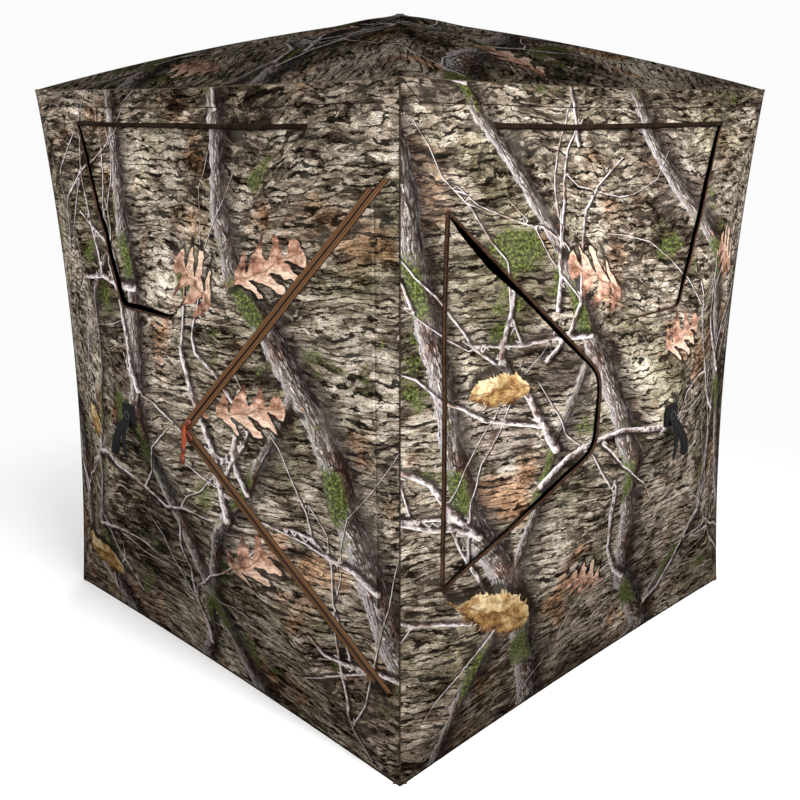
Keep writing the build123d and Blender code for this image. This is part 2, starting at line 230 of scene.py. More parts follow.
class WoodlandPrint:
    """Where the trunks, twigs and leaves of one face's print lie, in the face's own coordinates."""

    def __init__(self, face):
        rng = np.random.default_rng(face.seed)
        wide, tall = face.half_x, face.half_y
        self.trunks, self.twigs, self.leaves = [], [], []
        for index, width in enumerate(TRUNK_WIDTHS):
            x = wide * (-1 + 2 * (index + rng.uniform(0.25, 0.75)) / len(TRUNK_WIDTHS))
            lean = rng.uniform(0.20, 0.60) * (-1) ** (index + face.seed)
            start = (x - lean * tall * 0.9, -tall * 1.1)
            count = 18 if index % 2 == 0 else 11
            trunk = wander(rng, start, lean, TRUNK_STEP, count, width, kink=0.13, taper=0.55, steady=0.4)
            self.trunks.append(trunk)
            for _ in range(3):
                knot = rng.integers(2, count)
                aside = lean + rng.choice((-1, 1)) * rng.uniform(0.4, 1.1)
                self.branch(rng, trunk.points[knot], aside, rng.uniform(0.0065, 0.0120), 1)
        for _ in range(LOOSE_TWIGS):
            start = rng.uniform((-wide, -tall), (wide, tall))
            self.branch(rng, start, rng.uniform(-0.9, 0.9), rng.uniform(0.004, 0.007), 1)
        kinds = list(LEAF_KINDS)
        tries = 0
        while kinds and tries < 400:
            tries += 1
            centre = rng.uniform((-wide * 0.8, -tall * 0.8), (wide * 0.8, tall * 0.55))
            size = rng.uniform(0.070, 0.115)
            if all(np.linalg.norm(centre - leaf[0]) > 1.3 * (size + leaf[2]) for leaf in self.leaves):
                turn = rng.uniform(-0.6, 0.6) + math.pi * rng.integers(0, 2)
                self.leaves.append((centre, turn, size, kinds.pop()))

    def branch(self, rng, start, heading, width, forks):
        count = int(rng.integers(4, 9))
        twig = wander(rng, start, heading, TWIG_STEP, count, width, kink=0.26, taper=0.65, steady=0.25)
        self.twigs.append(twig)
        for _ in range(2 * forks):
            knot = int(rng.integers(1, count))
            aside = heading + rng.choice((-1, 1)) * rng.uniform(0.4, 1.0)
            self.branch(rng, twig.points[knot], aside, twig.widths[knot] * 0.6, forks - 1)

    @staticmethod
    def nearest(strokes, points):
        """Each point's nearest stroke: offset over its half width, distance to its edge, run along it."""
        found = np.full((len(points), 3), FAR)
        for stroke in strokes:
            run = 0.0
            for index, (a, b) in enumerate(zip(stroke.points, stroke.points[1:])):
                length = np.linalg.norm(b - a)
                along = (b - a) / length
                raw = (points - a) @ along
                t = np.clip(raw, 0, length)
                side = (points - a) @ np.array([along[1], -along[0]])
                start, end = stroke.widths[index:index + 2]
                half = start + (end - start) * t / length
                edge = np.hypot(side, raw - t) - half
                closer = (edge < found[:, 1])[:, None]
                found = np.where(closer, np.stack([side / half, edge, run + raw], 1), found)
                run += length
        return found

    def store(self, mesh, flat):
        """Writes the print's layout onto a mesh whose points have these face coordinates."""
        put(mesh, "trunk", self.nearest(self.trunks, flat))
        twig = self.nearest(self.twigs, flat)
        twig[:, 0] = np.clip(twig[:, 0], -FAR, FAR)
        put(mesh, "twig", twig)
        leaf = np.full((len(flat), 3), FAR)
        close = np.zeros(len(flat))
        nearest = np.full(len(flat), FAR)
        for number, (centre, turn, size, kind) in enumerate(self.leaves):
            rel = flat - centre
            distance = np.hypot(*rel.T)
            closer = distance < nearest
            u = (rel[:, 0] * math.cos(turn) + rel[:, 1] * math.sin(turn)) / size
            v = (rel[:, 1] * math.cos(turn) - rel[:, 0] * math.sin(turn)) / size
            values = np.stack([u, v, np.full(len(flat), kind + 0.1 * number / len(self.leaves))], 1)
            leaf = np.where(closer[:, None], values, leaf)
            close = np.where(closer, distance < size * 1.5, close)
            nearest = np.where(closer, distance, nearest)
        put(mesh, "leaf", leaf)
        put(mesh, "leaf_near", close)


def put(mesh, name, values):
    """Stores numbers on the mesh's points: one number or three for each."""
    kind, field = ("FLOAT", "value") if values.ndim == 1 else ("FLOAT_VECTOR", "vector")
    attribute = mesh.attributes.new(name, kind, "POINT")
    attribute.data.foreach_set(field, values.astype(np.float32).ravel())


PRINTS = {name: WoodlandPrint(face) for name, face in FACES.items()}


# ---- Meshes ----
def new_object(name, vertices, faces, material):
    mesh = bpy.data.meshes.new(name)
    mesh.from_pydata([tuple(v) for v in vertices], [], [tuple(int(i) for i in f) for f in faces])
    mesh.update()
    mesh.polygons.foreach_set("use_smooth", [True] * len(mesh.polygons))
    mesh.materials.append(material)
    piece = bpy.data.objects.new(name, mesh)
    bpy.context.scene.collection.objects.link(piece)
    return piece


def lay_uv(piece, name, layout):
    """Gives a piece a UV map from one (u, v) for each of its points."""
    corners = np.zeros(len(piece.data.loops), np.int32)
    piece.data.loops.foreach_get("vertex_index", corners)
    uv = piece.data.uv_layers.new(name=name)
    uv.data.foreach_set("uv", layout[corners].astype(np.float32).ravel())


def thicken(piece, thickness):
    """Thickens a sheet inwards. The modifier is handed back."""
    thick = piece.modifiers.new("thickness", "SOLIDIFY")
    thick.thickness, thick.offset = thickness, -1
    return thick


def inside(points, outline):
    """Which points lie inside a closed outline."""
    hit = np.zeros(len(points), bool)
    for a, b in zip(outline, np.roll(outline, -1, axis=0)):
        crosses = (a[1] > points[:, 1]) != (b[1] > points[:, 1])
        with np.errstate(divide="ignore", invalid="ignore"):
            x = a[0] + (points[:, 1] - a[1]) / (b[1] - a[1]) * (b[0] - a[0])
        hit ^= crosses & (points[:, 0] < x)
    return hit


def edge_distance(points, outline):
    """Distance from each point to the nearest edge of a closed outline."""
    best = np.full(len(points), FAR)
    for a, b in zip(outline, np.roll(outline, -1, axis=0)):
        d = b - a
        t = np.clip((points - a) @ d / max(d @ d, 1e-12), 0, 1)
        best = np.minimum(best, np.linalg.norm(points - a - t[:, None] * d, axis=1))
    return best


def refine(outline, spacing, closed=True):
    """The outline with its edges cut into pieces no longer than the spacing."""
    outline = np.asarray(outline, float)
    starts = outline if closed else outline[:-1]
    points = []
    for a, b in zip(starts, np.roll(outline, -1, axis=0)):
        count = max(1, int(math.ceil(np.linalg.norm(b - a) / spacing)))
        points += [a + (b - a) * k / count for k in range(count)]
    if not closed:
        points.append(outline[-1])
    return np.array(points)


def fill(outline, openings, spacing):
    """An even triangle mesh of an outline with openings: its points and its triangles."""
    loops = [refine(loop, spacing) for loop in (outline, *openings)]
    low, high = loops[0].min(0), loops[0].max(0)
    grid = []
    for j, y in enumerate(np.arange(low[1], high[1], spacing * math.sqrt(3) / 2)):
        xs = np.arange(low[0] + (spacing / 2 if j % 2 else 0), high[0], spacing)
        grid.append(np.stack([xs, np.full(len(xs), y)], 1))
    grid = np.concatenate(grid)
    keep = within(grid, loops)
    for loop in loops:
        keep &= edge_distance(grid, loop) > spacing * 0.55
    edges, start = [], 0
    for loop in loops:
        edges += [(start + k, start + (k + 1) % len(loop)) for k in range(len(loop))]
        start += len(loop)
    points = [Vector(p) for p in np.concatenate(loops + [grid[keep]])]
    result = delaunay_2d_cdt(points, edges, [], 0, 1e-7)
    points = np.array([tuple(v) for v in result[0]])
    triangles = np.array([f for f in result[2] if len(f) == 3])
    return points, triangles[within(points[triangles].mean(1), loops)]


def within(points, loops):
    """Which points lie inside the first loop and outside the others."""
    keep = inside(points, loops[0])
    for opening in loops[1:]:
        keep &= ~inside(points, opening)
    return keep


# ---- Shader helpers ----
class Wire:
    """A node's output, which adds and multiplies like a number."""

    def __init__(self, shader, socket):
        self.shader, self.socket = shader, socket

    def __add__(self, other):
        return self.shader.math("ADD", self, other)

    def __sub__(self, other):
        return self.shader.math("SUBTRACT", self, other)

    def __rsub__(self, other):
        return self.shader.math("SUBTRACT", other, self)

    def __mul__(self, other):
        return self.shader.math("MULTIPLY", self, other)

    def __abs__(self):
        return self.shader.math("ABSOLUTE", self)


class Shader:
    """The node tree of a material or world. Values may be numbers, colours or wires."""

    def __init__(self, owner):
        self.owner = owner
        owner.use_nodes = True
        self.tree = owner.node_tree
        self.tree.nodes.clear()

    def node(self, kind, settings=None, inputs=(), **named):
        """A new shader node, with its inputs given in their order or by name."""
        made = self.tree.nodes.new("ShaderNode" + kind)
        for key, value in (settings or {}).items():
            setattr(made, key, value)
        for socket, value in zip(made.inputs, inputs):
            self.feed(socket, value)
        for key, value in named.items():
            self.feed(made.inputs[key.replace("_", " ")], value)
        return made

    def wire(self, kind, output=0, settings=None, inputs=(), **named):
        """One output of a new node."""
        return Wire(self, self.node(kind, settings, inputs, **named).outputs[output])

    def feed(self, socket, value):
        if isinstance(value, Wire):
            self.tree.links.new(value.socket, socket)
        elif isinstance(value, tuple) and len(value) == 3 and socket.type == "RGBA":
            socket.default_value = (*value, 1.0)
        else:
            socket.default_value = value

    def math(self, operation, *values):
        return self.wire("Math", 0, {"operation": operation}, values)

    def vector_math(self, operation, *values, output=0):
        return self.wire("VectorMath", output, {"operation": operation}, values)

    def larger(self, a, b):
        return self.math("MAXIMUM", a, b)

    def zigzag(self, value):
        """Rises from 0 to 0.5 and falls back, once in each whole number."""
        return self.math("PINGPONG", value, 0.5)

    def step(self, value, low, high):
        """0 below low, 1 above high and smooth between. With low above high it falls instead."""
        ends = (high, low, 1.0, 0.0) if low > high else (low, high, 0.0, 1.0)
        return self.wire("MapRange", 0, {"interpolation_type": "SMOOTHSTEP"}, (value, *ends))

    def mix(self, share, a, b, blend="MIX"):
        made = self.node("Mix", {"data_type": "RGBA", "blend_type": blend}, (share,))
        self.feed(made.inputs[6], a)
        self.feed(made.inputs[7], b)
        return Wire(self, made.outputs[2])

    def stored(self, name, output="Vector"):
        """A vector, or as its Fac a number, that was stored on the mesh's points."""
        return self.wire("Attribute", output, {"attribute_name": name})

    def split(self, vector):
        made = self.node("SeparateXYZ", Vector=vector)
        return [Wire(self, socket) for socket in made.outputs]

    def vector(self, x, y, z):
        return self.wire("CombineXYZ", inputs=(x, y, z))

    def uv(self, name):
        return self.wire("UVMap", 0, {"uv_map": name})

    def place(self):
        return self.wire("TexCoord", "Object")

    def noise(self, vector, scale, detail=2.0, rough=0.55, distortion=0.0, output=0):
        return self.wire(
            "TexNoise", output,
            Vector=vector, Scale=scale, Detail=detail, Roughness=rough, Distortion=distortion,
        )

    def ramp(self, value, *stops):
        """A run of screen colours. Each stop is its place followed by red, green and blue."""
        made = self.node("ValToRGB", Fac=value)
        elements = made.color_ramp.elements
        while len(elements) < len(stops):
            elements.new(0.5)
        for element, (place, *colour) in zip(elements, stops):
            element.position = place
            element.color = (*srgb(*colour), 1.0)
        return Wire(self, made.outputs[0])

    def bump(self, height, strength, distance, **below):
        return self.wire("Bump", Height=height, Strength=strength, Distance=distance, **below)

    def finish(self, colour, roughness, normal, metallic=0.0, specular=0.4, ior=1.5):
        surface = self.wire(
            "BsdfPrincipled", Base_Color=colour, Roughness=roughness, Normal=normal,
            Metallic=metallic, Specular_IOR_Level=specular, IOR=ior,
        )
        self.node("OutputMaterial", Surface=surface)
        return self.owner


def srgb(*colour):
    """A screen colour from 0 to 255 as the linear colour that a shader takes."""
    shares = [value / 255 for value in colour]
    return tuple(c / 12.92 if c <= 0.04045 else ((c + 0.055) / 1.055) ** 2.4 for c in shares)


def scaled(colour, factor, extra=0.0):
    return tuple(min(c * factor + extra, 1.0) for c in colour)


def new_shader(name):
    return Shader(bpy.data.materials.new(name))


def warp(s, place, scale, amount):
    """The place moved about by noise, so that straight features wander."""
    shift = s.vector_math("SUBTRACT", s.noise(place, scale, 2.0, output=1), (0.5, 0.5, 0.5))
    return s.vector_math("MULTIPLY_ADD", shift, (amount,) * 3, place)


def bark(s, place, lines, seed):
    """Bark's tone and its dark cracks, which run along x. Lines is how many there are in a metre of y."""
    x, y, _ = s.split(place)
    slow = s.vector(x, y * 2.7, seed)
    quick = s.vector(x, y * 3.8, seed + 3.0)
    sway = s.noise(slow, lines * 0.085, 3.0, 0.6)
    sway_fine = s.noise(slow, lines * 0.40, 4.0, 0.70)
    rim = s.zigzag(y * lines + (sway * 5.5 + sway_fine * 2.0))
    thick = s.step(s.noise(quick, lines * 0.24, 5.0, 0.72), 0.34, 0.70) * 0.22
    crack = s.step(rim - thick, 0.055, 0.0) * s.step(thick, 0.002, 0.03)
    broken = abs(s.noise(quick, lines * 0.50, 5.0, 0.70, 1.2) - 0.5)
    crack = s.larger(crack, s.step(broken, 0.030, 0.008) * 0.95)
    hair = abs(s.noise(quick, lines * 1.3, 3.0, 0.62, 0.8) - 0.5)
    crack = s.larger(crack, s.step(hair, 0.026, 0.004) * 0.8)
    cells = warp(s, slow, lines * 0.3, 0.9 / lines)
    plates = s.node("TexVoronoi", Vector=cells, Scale=lines * 0.62)
    plate_edge, plate_colour = (Wire(s, socket) for socket in plates.outputs[:2])
    fine = s.noise(quick, lines * 1.1, 5.0, 0.75)
    coarse = s.noise(slow, lines * 0.26, 4.0, 0.62)
    tone = fine * 0.46 + coarse * 0.44 + s.split(plate_colour)[0] * 0.18
    return tone - plate_edge * 0.06, crack


def print_ground(s, place, turned):
    """Old bark lying on its side: long plates, pale worn tops and dark cracks. Returns the cracks too."""
    tone, crack = bark(s, warp(s, turned, 2.2, 0.12), 50.0, 0.0)
    patch = s.noise(turned, 2.6, 4.0, 0.60)
    colour = s.ramp(
        tone + (patch - 0.46) * 0.70,
        (0.36, 30, 23, 18), (0.45, 74, 64, 53), (0.53, 126, 114, 99),
        (0.61, 170, 158, 142), (0.75, 226, 214, 198),
    )
    warm = s.step(s.noise(turned, 5.0, 3.0), 0.54, 0.68)
    colour = s.mix(warm * 0.60, colour, srgb(178, 128, 84), "OVERLAY")
    olive = s.step(s.noise(place, 3.1, 3.0), 0.50, 0.64)
    colour = s.mix(olive * 0.55, colour, srgb(150, 154, 110), "MULTIPLY")
    shaded = s.step(s.noise(turned, 2.3, 3.0, 0.6), 0.52, 0.66)
    colour = s.mix(shaded * 0.70, colour, srgb(120, 100, 104), "MULTIPLY")
    return s.mix(crack * 0.97, colour, srgb(10, 7, 5)), crack


def print_moss_and_trunks(s, place, colour):
    """Moss in drifts over the ground, and trunks: bark, a lit edge, a dark edge and a shadow beside."""
    moss_grain = s.noise(place, 130.0, 3.0, 0.75)
    moss_colour = s.ramp(moss_grain, (0.34, 18, 22, 10), (0.50, 56, 64, 30), (0.66, 122, 130, 68))
    moss = s.step(s.noise(warp(s, place, 9.0, 0.05), 4.6, 3.0) + moss_grain * 0.16, 0.705, 0.755)
    colour = s.mix(moss * 0.80, colour, moss_colour)

    across, edge, along = s.split(s.stored("trunk"))
    outline = edge + (s.noise(place, 34.0, 4.0) - 0.5) * 0.030
    wood_tone, wood_crack = bark(s, warp(s, s.vector(along, across * 0.040, 0.0), 6.0, 0.03), 120.0, 5.0)
    wood = s.ramp(
        wood_tone, (0.38, 22, 17, 16), (0.47, 66, 56, 50), (0.55, 122, 110, 103), (0.63, 222, 215, 212)
    )
    rust = s.step(s.noise(s.vector(across * 0.06, along, 3.0), 6.0, 3.0), 0.50, 0.62)
    wood = s.mix(rust * 0.60, wood, srgb(150, 92, 56), "OVERLAY")
    lit = s.step(across + (wood_tone - 0.5) * 3.0, -0.35, -0.90)
    wood = s.mix(lit * 0.70, wood, srgb(206, 199, 200))
    wood = s.mix(wood_crack * 0.85, wood, srgb(16, 11, 11))
    dark = s.step(across + (wood_tone - 0.5) * 2.0, 0.0, 0.75)
    wood = s.mix(dark * 0.80, wood, srgb(22, 16, 16))
    drift = s.noise(s.vector(across * 0.03, along, 7.0), 4.0, 3.0)
    trunk_moss = s.step(drift + moss_grain * 0.2, 0.64, 0.70)
    wood = s.mix(trunk_moss * s.step(across, 0.7, 0.1) * 0.92, wood, moss_colour)
    beside = s.step(outline, 0.055, 0.0) * s.step(across, 0.0, 0.4)
    colour = s.mix(beside * 0.80, colour, srgb(26, 19, 19))
    return s.mix(s.step(outline, 0.003, -0.002), colour, wood)


def print_twigs(s, place, colour):
    """Pale thin twigs, each with a dark underside."""
    offset, clear, run = s.split(s.stored("twig"))
    lateral = offset + (s.noise(place, 30.0, 3.0) - 0.5) * 1.1
    shadow = s.step(lateral, 0.1, 0.7) * s.step(lateral, 3.4, 1.3) * s.step(clear, 0.015, 0.009)
    colour = s.mix(shadow * 0.85, colour, srgb(20, 14, 14))
    thin = s.step(abs(lateral), 1.10, 0.85) * s.step(clear, 0.0055, 0.0035)
    knots = s.noise(s.vector(offset * 0.5, run * 34.0, 0.0), 1.6, 4.0, 0.7)
    stick = s.ramp(knots + lateral * -0.20, (0.30, 34, 26, 26), (0.44, 96, 84, 82), (0.62, 204, 198, 198))
    brown = s.step(s.noise(s.vector(0.0, run * 3.0, 2.0), 2.0, 2.0), 0.48, 0.60)
    stick = s.mix(brown * 0.75, stick, srgb(176, 140, 112), "MULTIPLY")
    return s.mix(thin, colour, stick)


def print_leaves(s, place, colour, crack):
    """Leaves in two kinds: an oval one with a toothed edge and a lobed one with pointed, forward lobes."""
    flat = s.stored("leaf")
    kind = s.split(flat)[2]
    u, v, _ = s.split(warp(s, flat, 1.7, 0.42))
    close = s.stored("leaf_near", "Fac")
    side = abs(v)
    torn = (s.noise(place, 24.0, 6.0, 0.72) - 0.5) * 0.50
    swell = s.math("POWER", s.larger(1.0 - u * u, 0.0), 0.55)
    oval = swell * (s.math("FRACT", u * 8.0) * 0.075 + 0.40)
    lobes = s.math("SINE", (u - side * 0.70) * 12.0 + v * 1.6) * 0.5 + 0.5
    lobed = swell * (lobes * 0.56 + 0.09)
    lobed_kind = s.math("GREATER_THAN", kind, 0.5)
    half_leaf = oval * (1.0 - lobed_kind) + lobed * lobed_kind
    margin = side + torn - half_leaf
    under = abs(v + 0.16) + torn - (half_leaf + 0.03)
    colour = s.mix(s.step(under, 0.12, -0.02) * close * 0.88, colour, srgb(26, 20, 16))
    leaf_tone = s.noise(s.vector(u * 0.8, v, kind), 3.4, 6.0, 0.68)
    tan = s.ramp(
        leaf_tone + v * -0.30,
        (0.34, 60, 42, 26), (0.44, 132, 98, 58), (0.54, 170, 140, 94), (0.66, 212, 192, 150),
    )
    pink = s.ramp(leaf_tone + v * -0.25, (0.34, 74, 50, 42), (0.46, 160, 118, 98), (0.62, 222, 190, 168))
    blade = s.mix(lobed_kind, tan, pink)
    veins = s.zigzag((u - side * 0.75) * 4.6)
    vein = s.larger(s.step(veins, 0.07, 0.0), s.step(side, 0.035, 0.012))
    blade = s.mix(vein * 0.60, blade, srgb(84, 50, 28))
    blade = s.mix(crack * 0.45, blade, srgb(60, 42, 34))
    return s.mix(s.step(margin, 0.014, -0.014) * close, colour, blade)


def print_material(name, shade=1.0, grain_turn=0.0):
    """Brushed polyester with the woodland print. Shade darkens all of it as painted shade, and grain_turn
    turns its ground.
    """
    s = new_shader(name)
    place = s.uv("print")
    turned = s.wire("Mapping", Vector=place, Rotation=(0, 0, grain_turn))
    colour, crack = print_ground(s, place, turned)
    colour = print_moss_and_trunks(s, place, colour)
    colour = print_twigs(s, place, colour)
    colour = print_leaves(s, place, colour, crack)

    # The cloth is worn in places, painted shade darkens it towards the ground, and it is darker in the
    # doubled band at the eaves.
    wear = s.noise(place, 11.0, 3.0)
    colour = s.mix(s.step(wear, 0.45, 0.75) * 0.06, colour, srgb(196, 186, 172))
    height = s.split(s.place())[2]
    # Painted shade: the colour darkens towards the ground, with a ragged edge from the wear noise.
    painted_ground_shade = s.step(height + (wear - 0.5) * 0.5, 0.85, 0.0)
    colour = s.mix(painted_ground_shade * 0.62, colour, srgb(150, 140, 134), "MULTIPLY")
    eave = s.step(height, TOP - EAVE_FOLD - 0.004, TOP - EAVE_FOLD + 0.006)
    colour = s.mix(eave * 0.55, colour, srgb(150, 142, 136), "MULTIPLY")
    # Painted shade: a shade below one darkens the whole print, as on the roof.
    toned = s.wire("HueSaturation", Color=colour, Value=shade)
    threads = [
        s.wire("TexWave", 1, {"bands_direction": direction}, Vector=place, Scale=220.0)
        for direction in "XY"
    ]
    weave = s.bump(threads[0] + threads[1], 0.25, 0.0004)
    normal = s.bump(s.noise(place, 22.0, 4.0), 0.35, 0.004, Normal=weave)
    return s.finish(toned, 0.95, normal, specular=0.0, ior=1.0)


def plain_cloth(name, colour, spread=1.5):
    """A plain woven cloth in one slightly uneven colour."""
    s = new_shader(name)
    weave = s.noise(s.place(), 260.0, 2.0)
    uneven = s.noise(s.place(), 26.0, 4.0, 0.65)
    tone = s.step(weave * 0.5 + uneven * 0.5, 0.38, 0.62)
    mixed = s.mix(tone, scaled(colour, 0.6), scaled(colour, spread))
    return s.finish(mixed, 0.9, s.bump(weave, 0.4, 0.0006), specular=0.0, ior=1.0)


def webbing_material(name, colour, ribs, borders=0.0):
    """Woven webbing with ribs across it, pale worn edges, two stitch lines and, if asked, dark borders."""
    s = new_shader(name)
    run = s.uv("strip")
    along, across, _ = s.split(run)
    weave = s.zigzag(along * ribs) * 1.2 + s.zigzag(across * 6.0) * 0.8
    fluff = s.noise(run, 60.0, 3.0)
    tone = s.step(weave + fluff * 0.5, 0.35, 1.0)
    mixed = s.mix(tone, scaled(colour, 0.55), scaled(colour, 1.5))
    edge = abs(across - 0.5)
    mixed = s.mix(s.step(edge, 0.46, 0.50) * 0.25, mixed, scaled(colour, 2.4))
    dashes = s.step(s.zigzag(along * 240.0), 0.12, 0.18)
    stitch = s.step(abs(edge - 0.36), 0.045, 0.02) * dashes
    mixed = s.mix(stitch * 0.7, mixed, scaled(colour, 0.25))
    if borders:
        fold = s.larger(s.step(edge, 0.37, 0.42), s.step(edge, 0.10, 0.05))
        mixed = s.mix(fold * borders, mixed, scaled(colour, 0.16))
    return s.finish(mixed, 0.82, s.bump(weave, 0.8, 0.0008), specular=0.12)


def moulded_plastic(name, colour, roughness=0.45):
    s = new_shader(name)
    grain = s.noise(s.place(), 900.0, 2.0)
    scuffs = s.step(s.noise(s.place(), 60.0, 5.0, 0.7), 0.56, 0.72)
    mixed = s.mix(scuffs * 0.35, colour, scaled(colour, 2.2, 0.02))
    return s.finish(mixed, scuffs * 0.25 + roughness, s.bump(grain, 0.25, 0.0003))


def fibreglass(name, colour):
    """Pultruded rod: a gloss black with fine fibres and rubbed patches."""
    s = new_shader(name)
    fibres = s.noise(s.place(), 420.0, 3.0)
    rubbed = s.step(s.noise(s.place(), 14.0, 4.0), 0.55, 0.70)
    mixed = s.mix(s.step(fibres, 0.5, 0.75) * 0.4, colour, scaled(colour, 3, 0.02))
    return s.finish(mixed, rubbed * 0.3 + 0.22, s.bump(fibres, 0.2, 0.0003))


def coated_metal(name, colour, metallic, roughness):
    s = new_shader(name)
    wear = s.step(s.noise(s.place(), 180.0, 4.0, 0.7), 0.58, 0.70)
    mixed = s.mix(wear * 0.6, colour, scaled(colour, 2.5, 0.05))
    return s.finish(mixed, wear * 0.2 + roughness, s.bump(wear, 0.3, 0.0003), metallic=metallic)


# ---- Materials ----
WALL_PRINT = print_material("wall_print")
# The roof is the same cloth as the walls; its darker colour is painted shade.
ROOF_PRINT_IN_PAINTED_SHADE = print_material("roof_print", 0.40, 0.9)
LINING = plain_cloth("black_lining", srgb(24, 23, 24))
BINDING = plain_cloth("brown_binding", srgb(46, 32, 24), spread=2.0)
DARK_BINDING = plain_cloth("dark_binding", srgb(27, 20, 15), spread=1.8)
BLACK_WEBBING = webbing_material("black_webbing", srgb(17, 16, 16), 420.0)
HEM_WEBBING = webbing_material("hem_webbing", srgb(62, 54, 44), 420.0)
ZIP_TAPE = webbing_material("zip_tape", srgb(92, 64, 40), 600.0, borders=0.9)
ZIP_COIL = webbing_material("zip_coil", srgb(34, 22, 16), 520.0)
ZIP_METAL = coated_metal("zip_metal", srgb(92, 44, 28), 0.3, 0.4)
PULL_CORD = webbing_material("pull_cord", srgb(124, 56, 34), 300.0)
EAVE_BINDING = plain_cloth("eave_binding", srgb(66, 58, 48))
CORNER_BINDING = plain_cloth("corner_binding", srgb(44, 37, 31))
ROOF_PATCH = webbing_material("roof_patch", srgb(64, 56, 45), 500.0)
BRASS = coated_metal("aged_brass", srgb(150, 118, 66), 1.0, 0.35)
HUB_PLASTIC = moulded_plastic("hub_plastic", srgb(38, 38, 40))
CUP_PLASTIC = moulded_plastic("cup_plastic", srgb(44, 43, 42), 0.55)
POLE = fibreglass("pole_fibreglass", srgb(30, 30, 31))

# A trim is a flat ribbon: where its two edges lie beside its path, its lift off the cloth and the height of
# its rounded back.
Trim = namedtuple("Trim", "left right lift crown material")
EAVE_STITCH = Trim(0.0012, -0.0014, 0.0010, 0.0014, BINDING)
WINDOW_TOP_TAPE = Trim(0.0045, -0.0075, 0.0012, 0.0022, DARK_BINDING)
WINDOW_HOOK = Trim(0.0035, -0.0035, 0.0024, 0.0016, DARK_BINDING)
WINDOW_RIM = Trim(0.0020, -0.0030, 0.0006, 0.0014, BINDING)
SIDE_WINDOW_RIM = Trim(0.0025, -0.0050, 0.0010, 0.0022, BINDING)
SIDE_WINDOW_HEM = Trim(0.0070, -0.0045, 0.0012, 0.0026, BINDING)
OUTER_TAPE = Trim(0.0135, 0.0010, 0.0012, 0.0020, ZIP_TAPE)
INNER_TAPE = Trim(-0.0010, -0.0135, 0.0012, 0.0020, ZIP_TAPE)
OUTER_COIL = Trim(0.0029, 0.0003, 0.0028, 0.0018, ZIP_COIL)
INNER_COIL = Trim(-0.0003, -0.0029, 0.0028, 0.0018, ZIP_COIL)
HEM_TAPE = Trim(0.022, 0.0, -0.0035, -0.0016, HEM_WEBBING)


# ---- Fabric pieces ----
def follow(piece, panel):
    """Bakes the piece's place in the world into its mesh."""
    start = panel.origin + panel.slope * BLEND_START
    end = panel.origin + panel.slope * BLEND_END
    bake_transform(piece)


def cloth_piece(name, panel, outline, openings, material, lift=0.0):
    """Printed cloth over an outline on a panel. Lift is a number or a function of (across, up) points."""
    points, triangles = fill(outline, openings, SPACING)
    height = lift(points) if callable(lift) else lift
    piece = new_object(name, panel.place(points, height), triangles, material)
    flat = panel.to_face(points)
    PRINTS[panel.face.name].store(piece.data, flat)
    lay_uv(piece, "print", flat + panel.face.seed)
    piece.data.materials.append(LINING)
    thicken(piece, CLOTH).material_offset = 1
    return piece


def unit(vectors):
    return vectors / np.linalg.norm(vectors, axis=1)[:, None]


def distance_along(points):
    return np.concatenate([[0], np.cumsum(np.linalg.norm(np.diff(points, axis=0), axis=1))])


def strip(name, panel, path, trim):
    """A trim along a path of (across, up) points on a panel."""
    path = refine(path, SPACING, closed=False)
    ahead = unit(np.diff(path, axis=0))
    before, after = np.vstack([ahead[:1], ahead]), np.vstack([ahead, ahead[-1:]])
    middle = unit(before + after)
    mitre = 1 / np.maximum((middle * before).sum(1), 0.4)
    side = np.stack([-middle[:, 1], middle[:, 0]], 1) * mitre[:, None]
    shares = (0.0, 0.0, 0.12, 0.35, 0.65, 0.88, 1.0, 1.0)
    heights = (-0.3, 0.3, 0.85, 1.0, 1.0, 0.85, 0.3, -0.3)
    rows = []
    for share, height in zip(shares, heights):
        line = path + side * (trim.right + (trim.left - trim.right) * share)
        rows.append(panel.place(line, trim.lift + trim.crown * height))
    return strip_mesh(name, np.stack(rows, 1), distance_along(path), shares, trim.material)


def strip_mesh(name, grid, run, shares, material, closed=False):
    """A mesh from rows of points along a strip. Its UV map runs in metres along it and in shares across."""
    count, width = grid.shape[:2]
    faces, uvs = [], []
    for i in range(count - 1):
        for j in range(width if closed else width - 1):
            k = (j + 1) % width
            across = shares[j + 1] if j + 1 < len(shares) else 1.0
            faces.append((i * width + j, i * width + k, (i + 1) * width + k, (i + 1) * width + j))
            uvs += [(run[i], shares[j]), (run[i], across), (run[i + 1], across), (run[i + 1], shares[j])]
    piece = new_object(name, grid.reshape(-1, 3), faces, material)
    uv = piece.data.uv_layers.new(name="strip")
    uv.data.foreach_set("uv", np.array(uvs, np.float32).ravel())
    return piece


def close_ends(piece, width):
    """Caps the first and last ring of a closed strip."""
    made = bmesh.new()
    made.from_mesh(piece.data)
    points = list(made.verts)
    for ring in (points[width - 1::-1], points[-width:]):
        made.faces.new(ring).smooth = True
    bmesh.ops.recalc_face_normals(made, faces=made.faces)
    made.to_mesh(piece.data)
    made.free()


def cord(name, points, radius, material):
    """A round cord through world points."""
    ahead = unit(np.gradient(points, axis=0))
    reference = Z_AXIS if abs(ahead[:, 2]).mean() < 0.8 else X_AXIS
    first = unit(np.cross(ahead, reference))
    second = np.cross(ahead, first)
    angles = np.linspace(0, 2 * math.pi, 8, endpoint=False)
    rings = [points + radius * (math.cos(a) * first + math.sin(a) * second) for a in angles]
    shares = angles / (2 * math.pi)
    return strip_mesh(name, np.stack(rings, 1), distance_along(points), shares, material, closed=True)


